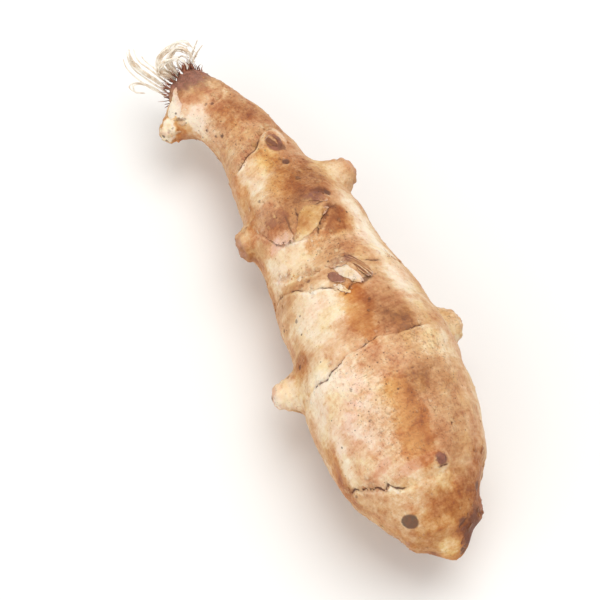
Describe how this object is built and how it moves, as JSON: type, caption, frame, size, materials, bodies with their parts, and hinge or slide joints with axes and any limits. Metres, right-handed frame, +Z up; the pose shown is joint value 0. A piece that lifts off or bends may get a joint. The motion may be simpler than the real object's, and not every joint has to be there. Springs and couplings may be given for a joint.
{
  "type": "jerusalem artichoke tuber",
  "caption": "Knobbly elongated root vegetable: one tapering tuber with blunt buds along its sides and a tuft of fine rootlets at its stem end, lying on its belly.",
  "frame": {"origin": "on the ground under the middle of the whole object's box", "axes": "+X along the tuber towards its growing tip, +Y to its left side seen from the stem end, +Z up; it lies on the small flat of its belly"},
  "size_m": [0.1382, 0.044, 0.0355],
  "materials": {
    "tuber_skin": "thin matte skin, cream to tan, mottled brown with dark scars and specks",
    "rootlet": "dry pale cream fibre"
  },
  "bodies": {
    "root": {"tuber": "tuber_skin", "rootlet_01": "rootlet", "rootlet_02": "rootlet", "rootlet_03": "rootlet", "rootlet_04": "rootlet", "rootlet_05": "rootlet", "rootlet_06": "rootlet", "rootlet_07": "rootlet", "rootlet_08": "rootlet", "rootlet_09": "rootlet", "rootlet_10": "rootlet", "rootlet_11": "rootlet", "rootlet_12": "rootlet", "rootlet_13": "rootlet", "rootlet_14": "rootlet"}
  },
  "joints": []
}
